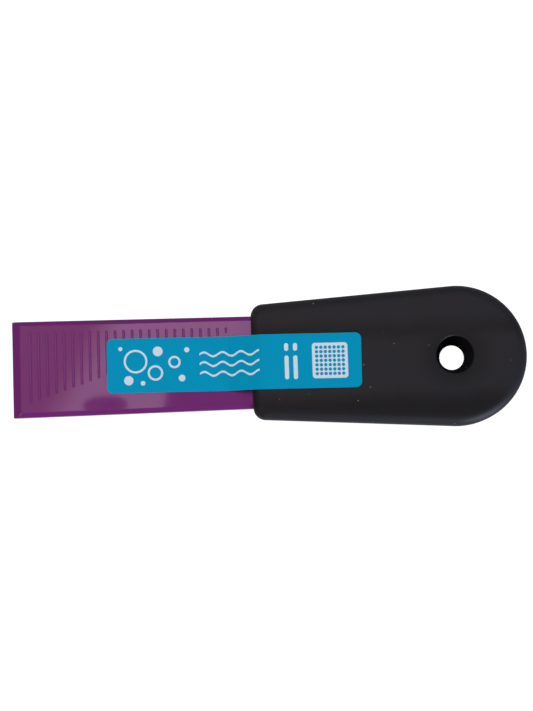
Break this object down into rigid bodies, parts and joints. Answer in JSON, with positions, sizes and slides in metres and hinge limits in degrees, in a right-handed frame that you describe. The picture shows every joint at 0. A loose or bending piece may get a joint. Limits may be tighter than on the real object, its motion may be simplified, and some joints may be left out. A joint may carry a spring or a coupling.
{
  "type": "cleaning scraper",
  "caption": "Hand scraper: flat bevelled plastic blade with a row of shallow grooves, set in a rounded soft grip with a funnel-shaped hang hole, and a printed label across both.",
  "frame": {"origin": "middle of the tool's bounding box, on the plane of the handle's underside, which it lies on", "axes": "+X from the blade's tip to the handle's round end, +Z out of the labelled side, +Y across the blade"},
  "size_m": [0.2, 0.0544, 0.0166],
  "materials": {
    "blade": "smooth gloss moulding, opaque purple",
    "core": "plain moulded plastic, hidden",
    "grip": "fine matt soft-touch surface",
    "label": "satin printed film"
  },
  "bodies": {
    "root": {"blade": "blade", "grip_core": "core", "soft_grip": "grip", "label": "label"}
  },
  "joints": []
}
